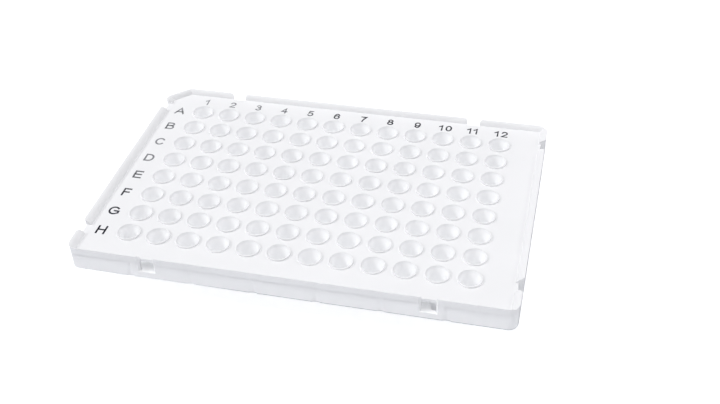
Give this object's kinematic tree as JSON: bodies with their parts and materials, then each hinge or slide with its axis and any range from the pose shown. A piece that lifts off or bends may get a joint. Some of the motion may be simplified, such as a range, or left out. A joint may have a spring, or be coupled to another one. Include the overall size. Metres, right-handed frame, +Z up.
{
  "type": "well plate",
  "caption": "Low-profile moulded well plate with a raised rim, a short windowed skirt, a cut corner and thin conical wells on a square grid.",
  "frame": {"origin": "under the middle of the plate, on the surface that the well tips rest on", "axes": "+Z up, out of the well mouths; +X along the rows from column 1 to column 12; +Y across the rows towards row A"},
  "size_m": [0.1278, 0.0854, 0.0152],
  "materials": {
    "polypropylene": "satin white moulded polypropylene, smooth and slightly waxy",
    "ink": "near-black printed row letters and column numbers"
  },
  "bodies": {
    "root": {"plate": "polypropylene"}
  },
  "joints": []
}
